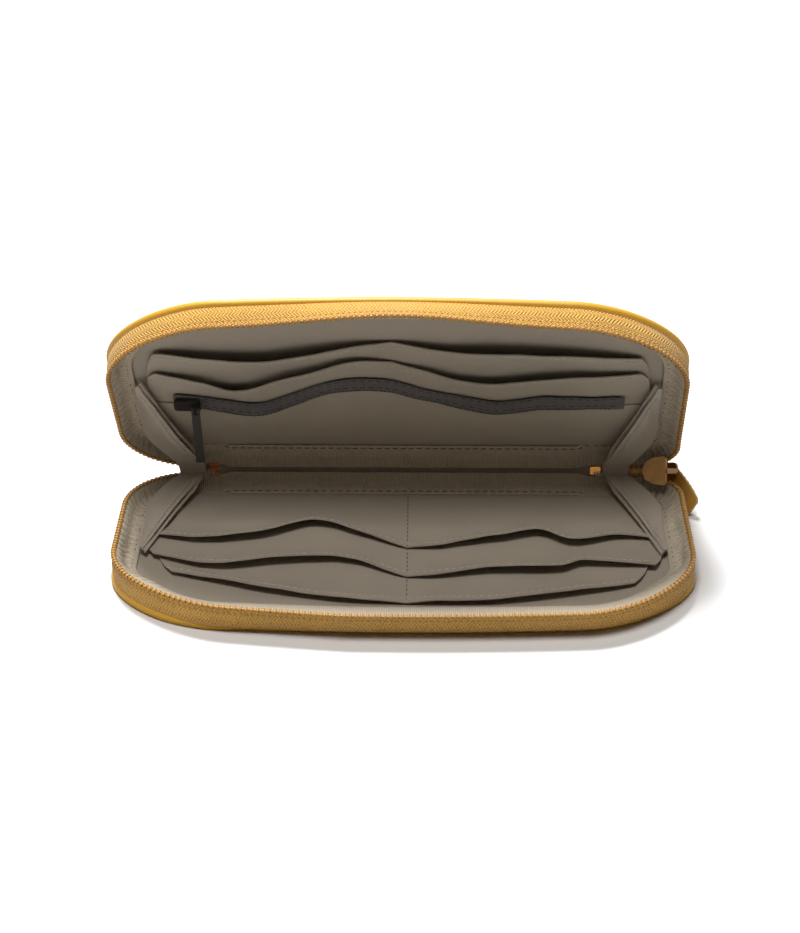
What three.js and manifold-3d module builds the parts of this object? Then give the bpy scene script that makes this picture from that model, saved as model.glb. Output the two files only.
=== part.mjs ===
// A zip-around travel wallet that lies open: two soft halves joined by a cloth spine.
// Millimetres, +Z up. The lower cover lies on the table, the front faces -Y, the spine +Y.
// Each half is drawn in its own plan: u runs along the wallet, v from the spine to the front,
// and w from the outer face of its cover (0) to the parting plane (halfThick).
import * as THREE from 'three';
import { mergeVertices } from 'three/addons/utils/BufferGeometryUtils.js';
import Module from 'manifold-3d';

const wasm = await Module();
wasm.setup();

// The closed wallet
const halfLength = 107;
const depth = 106;
const halfThick = 12.5;
const openAngle = 55.2;

// Plan corners: big round ones in front, a tighter one where the slider parks
const frontRadius = 42;
const backRadiusLeft = 27;
const backRadiusRight = 18;
const frontBow = 6;
const sideBow = 4;
const upperSkew = 0.02;
const upperShift = -1;

// The zip walls lean outwards at the middle of the front
const wallLean = 7;
const upperLeanReach = 38;
const lowerLeanStart = 96;
const lowerLeanReach = 75;

// Covers, boards and linings
const coverThick = 2;
const rimHeight = 3.2;
const rimWidth = 3.2;
const boardThick = 1;
const liningThick = 0.5;
const gap = 0.3;

// Zip tape, coil and spine
const zipEndRun = 35.5;
const spineHalf = halfLength - zipEndRun;
const tapeInset = 0.9;
const tapeThick = 0.8;
const tapeFromParting = 1.8;
const coilPitch = 2.8;
const coilHalfWidth = 1.1;
const coilNeckHalfWidth = 0.6;
const coilHeight = 1.35;
const coilNeckHeight = 0.8;
const stopLength = 4;
const trackStep = 7;
const cornerStep = 5;

// Facing ribbon
const ribbonInset = 2;
const ribbonThick = 0.5;
const ribbonReach = 8.6;
const gatherDepth = 0.5;

// Pocket sheets
const sheetThick = 0.5;
const pocketSideGap = 10;
const pocketHalf = halfLength - pocketSideGap;
const frontPocketInset = 6;
const frontPocketHalf = pocketHalf - frontPocketInset;
const pocketBack = 9.2;
const pocketPitch = 0.8;
const lowerRow3Edge = 45;
const lowerRow2Edge = 66;
const lowerRow1Edge = 87;
const upperFrontEdge = 65;
const upperRearEdge = 81;
const edgeWave = 2.5;
const sideRound = 4;
const frontRound = 14;
const backRound = 5;

// Zip pocket in the upper half
const pocketZipAt = 43;
const pocketTapeHalf = 4.2;
const pocketTapeInset = 13;
const pocketTapeEnd = pocketHalf - pocketTapeInset;
const pocketZipGap = 3;
const pocketCoilHalf = 1.1;
const pocketCoilThick = 1;
const pocketCoilPitch = 3;
const pocketSliderEnd = 5;
const pocketSliderRest = pocketSliderEnd - pocketTapeEnd;
const pocketShellHalfLength = 5;
const pocketShellHalf = 3.4;
const pocketFlangeHalfLength = 4.4;
const pocketBailHalf = 2.4;
const pocketBailReach = 3.6;
const pocketBailWire = 0.9;
const pocketBailDepth = 1.4;
const pocketPullAt = 3;
const pocketPullRise = 1.95;
const pocketPullSwing = 13;
const pocketPullLength = 30;
const pocketPullHalf = 1.6;
const pocketPullThick = 0.8;
const pocketPullBar = 0.5;
const pocketPullSlot = 3.2;
const pocketPullSlotHalf = 1;

// Gussets
const gussetThick = 0.6;
const gussetTipRun = 30.6;
const gussetApexRun = 20.5;
const gussetSeamRun = 9.6;
const gussetTip = halfLength - gussetTipRun;
const gussetApex = halfLength - gussetApexRun;
const gussetSeam = halfLength - gussetSeamRun;
const gussetFront = 56;
const gussetHemIn = 1.5;
const gussetSeamRise = 3.4;
const gussetHemRise = 4;
const gussetBack = 3.6;

// Main slider and pull
const sliderAngle = 35;
const plateThick = 1.2;
const innerPlateLength = 10.4;
const innerPlateHalf = 5.6;
const outerPlateLength = 11.5;
const outerPlateHalf = 3.4;
const innerChannel = 3.8;
const outerChannel = 2.9;
const bridgeHalf = 1;
const bailReach = 3.4;
const bailHalf = 3;
const bailDepth = 1.3;
const bailWire = 1;
const pullLength = 19;
const pullHalf = 4;
const pullThick = 1.4;
const pullBar = 0.45;
const pullSlot = 3.6;
const pullSlotMargin = 1.2;
const pullRise = 0.65;
const pullHug = -4;
const pullDroop = 40;

const radians = THREE.MathUtils.degToRad;
const partingToCoil = 0.15;

// Materials
const yellowCover = material('yellow_cover', 0xd29a1c, 0.55, 0);
const yellowTape = material('yellow_tape', 0xcf9a3c, 0.85, 0);
const yellowCoil = material('yellow_coil', 0xb9752a, 0.6, 0);
const ribbonCloth = material('ribbon_cloth', 0xa09078, 0.9, 0);
const liningCloth = material('lining_cloth', 0x7a7164, 0.9, 0);
const darkTape = material('dark_tape', 0x55504e, 0.9, 0);
const darkMetal = material('dark_metal', 0x4a4644, 0.4, 0.6);
const sliderPaint = material('slider_paint', 0x9a6418, 0.4, 0.4);
const clipMetal = material('clip_metal', 0xb5702a, 0.4, 0.6);
const boardCard = material('board_card', 0xb8b0a0, 0.9, 0);

function material(name, color, roughness, metalness) {
  const made = new THREE.MeshStandardMaterial({ color, roughness, metalness });
  made.name = name;
  return made;
}

// Plan of one half as a track of stations. Each station lies on a corner centre (cu, cv) with
// the outward direction (nu, nv) and the radius r, so an inset edge is found at once.
function line(from, to, nu, nv, r, step) {
  const length = Math.hypot(to[0] - from[0], to[1] - from[1]);
  const count = Math.max(1, Math.round(length / step));
  const stations = [];
  for (let i = 0; i < count; i += 1) {
    const part = i / count;
    stations.push({
      cu: from[0] + (to[0] - from[0]) * part,
      cv: from[1] + (to[1] - from[1]) * part,
      nu, nv, r,
    });
  }
  return stations;
}

function arc(centre, r, fromDegrees, toDegrees, step) {
  const sweep = radians(Math.abs(toDegrees - fromDegrees));
  const count = Math.max(2, Math.round(sweep * r / step));
  const stations = [];
  for (let i = 0; i < count; i += 1) {
    const angle = radians(fromDegrees + (toDegrees - fromDegrees) * i / count);
    stations.push({ cu: centre[0], cv: centre[1], nu: Math.cos(angle), nv: Math.sin(angle), r });
  }
  return stations;
}

// The zip's track: from the left end of the spine round the front to the spine's right end
function zipTrack(step, bend, start, end) {
  const left = halfLength - backRadiusLeft;
  const right = halfLength - backRadiusRight;
  const front = halfLength - frontRadius;
  const frontCentre = depth - frontRadius;
  const rl = backRadiusLeft;
  const rr = backRadiusRight;
  const rf = frontRadius;
  const last = { cu: end, cv: rr, nu: 0, nv: -1, r: rr };
  return [
    ...line([-start, rl], [-left, rl], 0, -1, rl, step),
    ...arc([-left, rl], rl, 270, 180, bend),
    ...line([-left, rl], [-left, frontCentre], -1, 0, rl, step),
    ...arc([-front, frontCentre], rf, 180, 90, bend),
    ...line([-front, frontCentre], [front, frontCentre], 0, 1, rf, step),
    ...arc([front, frontCentre], rf, 90, 0, bend),
    ...line([right, frontCentre], [right, rr], 1, 0, rr, step),
    ...arc([right, rr], rr, 0, -90, bend),
    ...line([right, rr], [end, rr], 0, -1, rr, step),
    last,
  ];
}

function spineTrack(step) {
  const r = backRadiusRight;
  const stations = line([spineHalf, r], [-spineHalf, r], 0, -1, r, step);
  stations.push({ cu: -spineHalf, cv: r, nu: 0, nv: -1, r });
  return stations;
}

// A closed ring round the whole half
function ringTrack(step, bend) {
  return [...zipTrack(step, bend, spineHalf, spineHalf), ...spineTrack(step).slice(1, -1)];
}

function planPoint(station, inset) {
  return [
    station.cu + station.nu * (station.r - inset),
    station.cv + station.nv * (station.r - inset),
  ];
}

// The soft form: the front bows in towards its corners, the ends bulge, the walls lean out
function leanAt(u, upper) {
  if (upper) return wallLean * Math.exp(-((u / upperLeanReach) ** 2));
  return wallLean * THREE.MathUtils.clamp((u + lowerLeanStart) / lowerLeanReach, 0, 1);
}

function soften([u, v, w], upper) {
  const forward = THREE.MathUtils.clamp((v - depth / 2) / (depth / 2), 0, 1);
  const across = (v - depth / 2) / (depth / 2);
  const bow = frontBow * (u / halfLength) ** 2 * forward;
  const lean = leanAt(u, upper) * forward ** 2 * (w / halfThick);
  const side = sideBow * across ** 2 * (u / halfLength) * Math.max(across, 0);
  return [u - side, v - bow + lean, w];
}

// From a half's plan to its own frame: the lower half lies on z = 0, the upper half starts at
// the parting plane and is turned about the fold by its group
function toFrame(point, upper) {
  const [u, v, w] = soften(point, upper);
  if (upper) return [u - upperSkew * v + (v > 20 ? upperShift : upperShift * v / 20), -v, halfThick - w];
  return [u, -v, w];
}

// Makes a closed body, wound so that its faces point outwards
function solidFrom(points, faces) {
  let volume = 0;
  for (const [a, b, c] of faces) {
    const [p, q, r] = [points[a], points[b], points[c]];
    volume += p[0] * (q[1] * r[2] - q[2] * r[1]);
    volume += p[1] * (q[2] * r[0] - q[0] * r[2]);
    volume += p[2] * (q[0] * r[1] - q[1] * r[0]);
  }
  const outward = volume > 0 ? faces : faces.map(([a, b, c]) => [a, c, b]);
  const geometry = new THREE.BufferGeometry();
  geometry.setAttribute('position', new THREE.Float32BufferAttribute(points.flat(), 3));
  geometry.setIndex(outward.flat());
  geometry.computeVertexNormals();
  return geometry;
}

// Joins a row of like outlines into one solid, closed on itself or capped at both ends
function loft(rows, closed) {
  const size = rows[0].length;
  const faces = [];
  const count = closed ? rows.length : rows.length - 1;
  for (let i = 0; i < count; i += 1) {
    const here = i * size;
    const next = ((i + 1) % rows.length) * size;
    for (let k = 0; k < size; k += 1) {
      const side = (k + 1) % size;
      faces.push([here + k, next + k, next + side]);
      faces.push([here + k, next + side, here + side]);
    }
  }
  if (!closed) {
    const last = (rows.length - 1) * size;
    for (let k = 1; k < size - 1; k += 1) {
      faces.push([0, k, k + 1]);
      faces.push([last, last + k + 1, last + k]);
    }
  }
  return solidFrom(rows.flat(), faces);
}

// A band that follows the track, with a section of (inset, w) points
function band(stations, sectionAt, closed, upper) {
  const rows = stations.map((station, i) => sectionAt(station, i).map(([inset, w]) => {
    const [u, v] = planPoint(station, inset);
    return toFrame([u, v, w], upper);
  }));
  return loft(rows, closed);
}

// A flat-faced panel built from rings of (inset, w), capped by flat faces at both ends
function panel(stations, rings, upper) {
  const plan = rings.map(([inset, w]) => stations.map((station) => {
    const [u, v] = planPoint(station, inset);
    return [u, v, w];
  }));
  return stackedPlate(plan, upper);
}

// A plate between outlines that are stacked along w, with its two end outlines closed
function stackedPlate(plan, upper) {
  const size = plan[0].length;
  const points = plan.flat().map((point) => toFrame(point, upper));
  const faces = [];
  for (let ring = 0; ring < plan.length - 1; ring += 1) {
    for (let k = 0; k < size; k += 1) {
      const side = (k + 1) % size;
      const low = ring * size;
      const high = low + size;
      faces.push([low + k, high + k, high + side]);
      faces.push([low + k, high + side, low + side]);
    }
  }
  const top = (plan.length - 1) * size;
  for (const [a, b, c] of capFaces(plan[0])) faces.push([a, b, c]);
  for (const [a, b, c] of capFaces(plan[plan.length - 1])) faces.push([top + a, top + c, top + b]);
  return solidFrom(points, faces);
}

// Triangles of an outline, wound like the outline's own order
function capFaces(outline) {
  const flat = outline.map(([u, v]) => new THREE.Vector2(u, v));
  const faces = THREE.ShapeUtils.triangulateShape(flat, []);
  return THREE.ShapeUtils.isClockWise(flat) ? faces.map(([a, b, c]) => [a, c, b]) : faces;
}

function meshOf(name, geometry, surface) {
  const mesh = new THREE.Mesh(geometry, surface);
  mesh.name = name;
  return mesh;
}

function asManifold(geometry) {
  const bare = geometry.clone();
  bare.deleteAttribute('normal');
  bare.deleteAttribute('uv');
  const merged = mergeVertices(bare, 1e-4);
  const solid = new wasm.Mesh({
    numProp: 3,
    vertProperties: Float32Array.from(merged.attributes.position.array),
    triVerts: Uint32Array.from(merged.index.array),
  });
  return new wasm.Manifold(solid);
}

function fromManifold(solid) {
  const mesh = solid.getMesh();
  const geometry = new THREE.BufferGeometry();
  geometry.setAttribute('position', new THREE.BufferAttribute(mesh.vertProperties, 3));
  geometry.setIndex(new THREE.BufferAttribute(mesh.triVerts, 1));
  geometry.computeVertexNormals();
  return geometry;
}

// Rounded outline of a plate that lies in the x-z plane and is thick along y
function plate(shape, fromY, toY) {
  const geometry = new THREE.ExtrudeGeometry(shape, {
    depth: toY - fromY, bevelEnabled: false, curveSegments: 3,
  });
  geometry.rotateX(Math.PI / 2);
  geometry.translate(0, toY, 0);
  return geometry;
}

function roundedBox(lowX, highX, halfZ, radius) {
  const shape = new THREE.Shape();
  shape.moveTo(lowX + radius, -halfZ);
  shape.lineTo(highX - radius, -halfZ);
  shape.absarc(highX - radius, -halfZ + radius, radius, -Math.PI / 2, 0);
  shape.lineTo(highX, halfZ - radius);
  shape.absarc(highX - radius, halfZ - radius, radius, 0, Math.PI / 2);
  shape.lineTo(lowX + radius, halfZ);
  shape.absarc(lowX + radius, halfZ - radius, radius, Math.PI / 2, Math.PI);
  shape.lineTo(lowX, -halfZ + radius);
  shape.absarc(lowX + radius, -halfZ + radius, radius, Math.PI, Math.PI * 1.5);
  return shape;
}

// Cover: a flat padded panel with a rolled rim that stands up round its edge
function cover(upper) {
  const edge = rimWidth / 2;
  return panel(ringTrack(trackStep, cornerStep), [
    [edge, 0], [edge * 0.3, rimHeight * 0.15], [0, rimHeight / 2], [edge * 0.3, rimHeight * 0.85],
    [edge, rimHeight], [rimWidth - edge * 0.3, rimHeight * 0.85], [rimWidth, coverThick],
  ], upper);
}

function board(upper) {
  const low = coverThick + gap;
  const inset = rimWidth + 1.3;
  const rings = [[inset, low], [inset, low + boardThick]];
  return panel(ringTrack(trackStep * 2, cornerStep * 2), rings, upper);
}

const liningLow = coverThick + gap + boardThick + gap;

function lining(upper) {
  const inset = ribbonInset + 2;
  const rings = [[inset, liningLow], [inset, liningLow + liningThick]];
  return panel(ringTrack(trackStep * 2, cornerStep * 2), rings, upper);
}

// Zip tape: the woven wall that stands between the rim and the coil
function zipTape(upper) {
  const low = rimHeight + gap;
  const high = halfThick - tapeFromParting;
  const section = [
    [tapeInset, low], [tapeInset, high], [tapeInset + tapeThick, high], [tapeInset + tapeThick, low],
  ];
  return band(zipTrack(trackStep, cornerStep, spineHalf, spineHalf), () => section, false, upper);
}

// Outer spine: the cloth strip that closes the gap between the two ends of the zip
function spineStrip(upper) {
  const low = rimHeight + gap;
  const high = halfThick - partingToCoil;
  const section = [
    [tapeInset, low], [tapeInset, high], [tapeInset + tapeThick, high], [tapeInset + tapeThick, low],
  ];
  const stations = spineTrack(trackStep).map((station) => {
    const cu = THREE.MathUtils.clamp(station.cu, gap - spineHalf, spineHalf - gap);
    return { ...station, cu };
  });
  return band(stations, () => section, false, upper);
}

// Coil: full and narrow stations take turns, so the teeth stand out along the tape's edge.
// The two coils are half a pitch apart, as teeth that mesh are.
function zipCoil(upper) {
  const top = halfThick - partingToCoil;
  const centre = tapeInset + tapeThick / 2;
  const half = coilPitch / 2;
  const start = spineHalf + stopLength + gap;
  const end = spineHalf + stopLength + 1.5;
  const stations = zipTrack(half, half, start, end);
  return band(stations, (station, i) => {
    const tooth = (i % 2 === 0) === upper;
    const side = tooth ? coilHalfWidth : coilNeckHalfWidth;
    const high = tooth ? top : top - (coilHeight - coilNeckHeight) / 2;
    const low = tooth ? top - coilHeight : top - (coilHeight + coilNeckHeight) / 2;
    return [[centre - side, low], [centre - side, high], [centre + side, high], [centre + side, low]];
  }, false, upper);
}

// Facing ribbon: it hides the inside of the wall and is gathered round the two ends
function ribbon(upper) {
  const top = halfThick - tapeFromParting - gap;
  const foot = liningLow + liningThick + gap;
  const stations = ringTrack(trackStep, cornerStep);
  return band(stations, (station, i) => {
    const ends = Math.abs(station.cu + station.nu * station.r) > spineHalf ? 1 : 0;
    const wave = ends * gatherDepth * (i % 2);
    return [
      [ribbonInset, top], [ribbonInset, foot], [ribbonReach, foot],
      [ribbonReach, foot + ribbonThick], [ribbonInset + 1 + wave, foot + 1.2 + wave],
      [ribbonInset + ribbonThick, top],
    ];
  }, true, upper);
}

// Pocket sheet: a thin cloth plate from its seam near the spine to a hem that waves
function pocketSheet(level, half, back, edge, round, phase, upper) {
  const low = liningLow + liningThick + gap + pocketPitch * level;
  const outline = [];
  const steps = 26;
  for (let i = 0; i <= steps; i += 1) {
    const part = 2 * i / steps - 1;
    const corner = round * part ** 4;
    const wave = edgeWave * Math.cos(2 * Math.PI * (part + phase));
    outline.push([half * part, edge + wave * (1 - part ** 4) - corner]);
  }
  const plan = [
    ...outline,
    [half, back + 2 * backRound], [half - backRound, back + backRound / 2], [half - 3 * backRound, back],
    [3 * backRound - half, back], [backRound - half, back + backRound / 2], [-half, back + 2 * backRound],
  ];
  return stackedPlate([low, low + sheetThick].map((w) => plan.map(([u, v]) => [u, v, w])), upper);
}

function lowerPocket(level, half, edge, round) {
  return pocketSheet(level, half, pocketBack, edge, round, 0.5 - 0.1 * level, false);
}

function upperPocket(level, back, edge, round) {
  return pocketSheet(level, pocketHalf - sideRound, back, edge, round, 0.1, true);
}

// Gusset: one folded cloth at each end. It runs from a seam on one half, over the crease at the
// fold, to the same seam on the other half. The free hem in front runs in to the crease's tip.
function gusset(side) {
  const half = radians(openAngle);
  const steps = 8;
  const rows = [];
  const middle = new THREE.Vector3(0, -Math.cos(half / 2), Math.sin(half / 2));
  for (let i = -steps; i <= steps; i += 1) {
    const part = Math.abs(i) / steps;
    const upper = i < 0;
    const seamPart = Math.sin(Math.min(1, part * 2.2) * Math.PI / 2);
    const seamU = side * THREE.MathUtils.lerp(gussetApex, gussetSeam, seamPart);
    const seamDrop = halfThick - liningLow - liningThick - gussetSeamRise;
    const seamW = halfThick - seamDrop * Math.min(1, part * 1.6);
    const hemU = side * THREE.MathUtils.lerp(gussetTip, gussetSeam - gussetHemIn, part ** 0.8);
    const hemW = halfThick - (halfThick - liningLow - liningThick - gussetHemRise) * part;
    const seam = foldPoint(seamU, gussetBack + (gussetFront - gussetBack) * part * 0.97, seamW, upper);
    const hem = foldPoint(hemU, gussetBack + (gussetFront - gussetBack) * part, hemW, upper);
    const outward = i === 0
      ? middle.clone()
      : new THREE.Vector3(0, -Math.sin(upper ? half : 0), -Math.cos(upper ? half : 0))
        .multiplyScalar(upper ? 1 : -1);
    const away = outward.multiplyScalar(gussetThick / (i === 0 ? 1.4 : 2));
    rows.push([
      seam.clone().add(away), hem.clone().add(away), hem.clone().sub(away), seam.clone().sub(away),
    ].map((point) => point.toArray()));
  }
  return loft(rows, false);
}

// A point of either half's plan, in the wallet's frame with the upper half at its open angle
function foldPoint(u, v, w, upper) {
  const local = new THREE.Vector3(...toFrame([u, v, w], upper));
  if (upper) {
    local.applyAxisAngle(new THREE.Vector3(1, 0, 0), -radians(openAngle));
    local.z += halfThick;
  }
  return local;
}

// Closed end of the zip: a clip folded over both coils, on the line of the fold
function endClip() {
  const body = plate(roundedBox(-stopLength / 2, stopLength / 2, 1.5, 0.5), -2.6, 0.4);
  return fromManifold(asManifold(body));
}

// Open end: a small clamp at the end of each coil
function endStop(upper) {
  const top = halfThick - partingToCoil;
  const stations = [
    { cu: -spineHalf - gap, cv: backRadiusLeft, nu: 0, nv: -1, r: backRadiusLeft },
    { cu: -spineHalf - stopLength, cv: backRadiusLeft, nu: 0, nv: -1, r: backRadiusLeft },
  ];
  const centre = tapeInset + tapeThick / 2;
  const side = coilHalfWidth + 0.2;
  const low = top - coilHeight;
  const section = [
    [centre - side, low], [centre - side, top], [centre + side, top], [centre + side, low],
  ];
  return band(stations, () => section, false, upper);
}

// Slider frame: x along the zip towards the slider's nose, y outwards through the tape, z across
function mainSlider() {
  const inner = new THREE.Shape();
  const nose = innerPlateLength / 2;
  const tail = -nose;
  inner.moveTo(nose - 1, -innerPlateHalf);
  inner.quadraticCurveTo(nose, -innerPlateHalf, nose, -innerPlateHalf + 1);
  inner.lineTo(nose, innerPlateHalf - 1);
  inner.quadraticCurveTo(nose, innerPlateHalf, nose - 1, innerPlateHalf);
  inner.bezierCurveTo(0, innerPlateHalf, tail, innerPlateHalf * 0.75, tail, 0);
  inner.bezierCurveTo(tail, -innerPlateHalf * 0.75, 0, -innerPlateHalf, nose - 1, -innerPlateHalf);
  const outerHalf = outerPlateLength / 2;
  const outerTop = outerChannel + plateThick;
  const bail = new THREE.Shape();
  bail.moveTo(-bailHalf, outerTop - 0.3);
  bail.lineTo(-bailHalf, outerTop + bailReach - 1.2);
  bail.quadraticCurveTo(-bailHalf, outerTop + bailReach, -bailHalf + 1.2, outerTop + bailReach);
  bail.lineTo(bailHalf - 1.2, outerTop + bailReach);
  bail.quadraticCurveTo(bailHalf, outerTop + bailReach, bailHalf, outerTop + bailReach - 1.2);
  bail.lineTo(bailHalf, outerTop - 0.3);
  const eye = new THREE.Path();
  const eyeHalf = bailHalf - bailWire;
  eye.moveTo(-eyeHalf, outerTop + 0.1);
  eye.lineTo(eyeHalf, outerTop + 0.1);
  eye.lineTo(eyeHalf, outerTop + bailReach - bailWire);
  eye.lineTo(-eyeHalf, outerTop + bailReach - bailWire);
  bail.holes.push(eye);
  const arch = new THREE.ExtrudeGeometry(bail, { depth: bailDepth, bevelEnabled: false, curveSegments: 4 });
  arch.translate(0, 0, -bailDepth / 2);
  const bridgeLength = 2.4;
  const bridge = new THREE.BoxGeometry(
    bridgeLength, innerChannel + outerChannel + plateThick, bridgeHalf * 2,
  );
  bridge.translate(outerHalf - bridgeLength / 2, (outerChannel - innerChannel) / 2, 0);
  const parts = [
    plate(inner, -innerChannel - plateThick, -innerChannel),
    plate(roundedBox(-outerHalf, outerHalf, outerPlateHalf, 1.8), outerChannel, outerTop),
    arch,
    bridge,
  ];
  return fromManifold(parts.map(asManifold).reduce((sum, piece) => sum.add(piece)));
}

// Pull: a strap whose slotted end hangs in the slider's bail
function mainPull() {
  const low = -pullThick / 2;
  const high = pullThick / 2;
  const outline = roundedBox(-pullBar, pullLength, pullHalf, pullBar);
  const slot = new THREE.Path();
  const slotHalf = pullHalf - pullSlotMargin;
  slot.moveTo(pullBar, -slotHalf);
  slot.lineTo(pullBar, slotHalf);
  slot.lineTo(pullSlot, slotHalf);
  slot.lineTo(pullSlot, -slotHalf);
  outline.holes.push(slot);
  return fromManifold(asManifold(plate(outline, low, high)));
}

// Zip pocket: its tape lies in two strips' width under the coil
const pocketTapeLow = liningLow + liningThick + gap + pocketPitch * 2;

function pocketTape() {
  const low = pocketTapeLow;
  const plan = roundedBox(-pocketTapeEnd, pocketTapeEnd, pocketTapeHalf, 1).getPoints(4)
    .map((point) => [point.x, pocketZipAt + point.y]);
  plan.pop();
  return stackedPlate([low, low + sheetThick].map((w) => plan.map(([u, v]) => [u, v, w])), true);
}

function pocketCoil() {
  const low = pocketTapeLow + sheetThick + gap;
  const rows = [];
  const half = pocketCoilPitch / 2;
  const from = -pocketTapeEnd + 3;
  const count = Math.floor((pocketTapeEnd * 2 - 6) / half);
  for (let i = 0; i <= count; i += 1) {
    const side = i % 2 === 0 ? pocketCoilHalf : pocketCoilHalf * 0.6;
    const high = i % 2 === 0 ? low + pocketCoilThick : low + pocketCoilThick * 0.7;
    const u = from + half * i;
    rows.push([[-side, low], [side, low], [side, high], [-side, high]]
      .map(([v, w]) => toFrame([u, pocketZipAt + v, w], true)));
  }
  return loft(rows, false);
}

function pocketSlider() {
  const top = pocketCoilThick + gap;
  const shell = roundedBox(-pocketShellHalfLength, pocketShellHalfLength, pocketShellHalf, 1.6);
  const arch = new THREE.Shape();
  arch.moveTo(-pocketBailHalf, top + 0.9);
  arch.lineTo(-pocketBailHalf, top + pocketBailReach);
  arch.lineTo(pocketBailHalf, top + pocketBailReach);
  arch.lineTo(pocketBailHalf, top + 0.9);
  const eye = new THREE.Path();
  const eyeHalf = pocketBailHalf - pocketBailWire;
  const eyeTop = top + pocketBailReach - pocketBailWire + 0.1;
  eye.moveTo(-eyeHalf, top + 1.1);
  eye.lineTo(eyeHalf, top + 1.1);
  eye.lineTo(eyeHalf, eyeTop);
  eye.lineTo(-eyeHalf, eyeTop);
  arch.holes.push(eye);
  const bail = new THREE.ExtrudeGeometry(arch, { depth: pocketBailDepth, bevelEnabled: false });
  bail.translate(0, 0, -pocketBailDepth / 2);
  bail.rotateY(-Math.PI / 2);
  bail.translate(pocketPullAt, 0, 0);
  const side = plate(
    roundedBox(-pocketFlangeHalfLength, pocketFlangeHalfLength, 0.5, 0.4), 0, top + 0.6,
  );
  const left = side.clone();
  const right = side.clone();
  left.translate(0, 0, -pocketCoilHalf - gap - 0.5);
  right.translate(0, 0, pocketCoilHalf + gap + 0.5);
  const parts = [plate(shell, top, top + 1.2), left, right, bail];
  return fromManifold(parts.map(asManifold).reduce((sum, piece) => sum.add(piece)));
}

function pocketPull() {
  const outline = roundedBox(-pocketPullBar, pocketPullLength, pocketPullHalf, pocketPullBar);
  const slot = new THREE.Path();
  slot.moveTo(pocketPullBar, -pocketPullSlotHalf);
  slot.lineTo(pocketPullBar, pocketPullSlotHalf);
  slot.lineTo(pocketPullSlot, pocketPullSlotHalf);
  slot.lineTo(pocketPullSlot, -pocketPullSlotHalf);
  outline.holes.push(slot);
  return fromManifold(asManifold(plate(outline, -pocketPullThick / 2, pocketPullThick / 2)));
}

// The lower half lies on the table
const lowerHalf = new THREE.Group();
lowerHalf.add(
  meshOf('lower_cover', cover(false), yellowCover),
  meshOf('lower_board', board(false), boardCard),
  meshOf('lower_lining', lining(false), liningCloth),
  meshOf('lower_spine_strip', spineStrip(false), yellowCover),
  meshOf('lower_zip_tape', zipTape(false), yellowTape),
  meshOf('lower_zip_coil', zipCoil(false), yellowCoil),
  meshOf('lower_end_stop', endStop(false), clipMetal),
  meshOf('lower_ribbon', ribbon(false), ribbonCloth),
  meshOf('lower_pocket_row_1', lowerPocket(0, frontPocketHalf, lowerRow1Edge, frontRound), liningCloth),
  meshOf('lower_pocket_row_2', lowerPocket(1, pocketHalf, lowerRow2Edge, sideRound), liningCloth),
  meshOf('lower_pocket_row_3', lowerPocket(2, pocketHalf, lowerRow3Edge, sideRound), liningCloth),
);

// The upper half turns about the fold line at the back of the parting plane
const upperHalf = new THREE.Group();
upperHalf.position.z = halfThick;
upperHalf.rotation.x = -radians(openAngle);
upperHalf.add(
  meshOf('upper_cover', cover(true), yellowCover),
  meshOf('upper_board', board(true), boardCard),
  meshOf('upper_lining', lining(true), liningCloth),
  meshOf('upper_spine_strip', spineStrip(true), yellowCover),
  meshOf('upper_zip_tape', zipTape(true), yellowTape),
  meshOf('upper_zip_coil', zipCoil(true), yellowCoil),
  meshOf('upper_end_stop', endStop(true), clipMetal),
  meshOf('upper_ribbon', ribbon(true), ribbonCloth),
  meshOf('upper_pocket_rear', upperPocket(0, pocketBack, upperRearEdge, 2 * sideRound), liningCloth),
  meshOf(
    'upper_pocket_front', upperPocket(1, pocketZipAt + pocketZipGap, upperFrontEdge, sideRound),
    liningCloth,
  ),
  meshOf('zip_pocket_panel', upperPocket(1, pocketBack, pocketZipAt - pocketZipGap, 0), liningCloth),
  meshOf('pocket_zip_tape', pocketTape(), darkTape),
  meshOf('pocket_zip_coil', pocketCoil(), darkTape),
);

// The pocket's slider rides on its coil, and its pull hangs from the bail
const pocketSliderSeat = new THREE.Group();
pocketSliderSeat.position.set(
  ...toFrame([pocketSliderRest, pocketZipAt, pocketTapeLow + sheetThick + gap], true),
);
pocketSliderSeat.rotation.x = -Math.PI / 2;
const hangingPull = meshOf('pocket_pull', pocketPull(), darkMetal);
hangingPull.position.set(pocketPullAt, pocketCoilThick + gap + pocketPullRise, 0);
hangingPull.rotation.set(-radians(pocketPullSwing), -Math.PI / 2, 0);
pocketSliderSeat.add(meshOf('pocket_slider', pocketSlider(), darkMetal), hangingPull);
upperHalf.add(pocketSliderSeat);

// The closed end of the zip and the slider lie on the plane that halves the opening
const foldPlane = new THREE.Group();
foldPlane.position.z = halfThick;
foldPlane.rotation.x = -radians(openAngle) / 2;
const clip = meshOf('zip_end_clip', endClip(), clipMetal);
clip.position.x = spineHalf + gap + stopLength / 2;
const cornerRun = backRadiusRight - tapeInset - tapeThick / 2;
const sliderSeat = new THREE.Group();
sliderSeat.position.set(
  halfLength - backRadiusRight + cornerRun * Math.sin(radians(sliderAngle)),
  -backRadiusRight + cornerRun * Math.cos(radians(sliderAngle)),
  0,
);
sliderSeat.rotation.z = -radians(sliderAngle);
const strap = meshOf('main_pull', mainPull(), yellowCover);
strap.position.y = outerChannel + plateThick + pullRise + pullThick / 2;
strap.rotation.set(0, radians(pullDroop), radians(pullHug));
sliderSeat.add(meshOf('main_slider', mainSlider(), sliderPaint), strap);
foldPlane.add(clip, sliderSeat);

const gussets = [
  meshOf('left_gusset', gusset(-1), liningCloth),
  meshOf('right_gusset', gusset(1), liningCloth),
];

const wallet = new THREE.Group();
wallet.name = 'travel_wallet';
wallet.add(lowerHalf, upperHalf, foldPlane, ...gussets);
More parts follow.
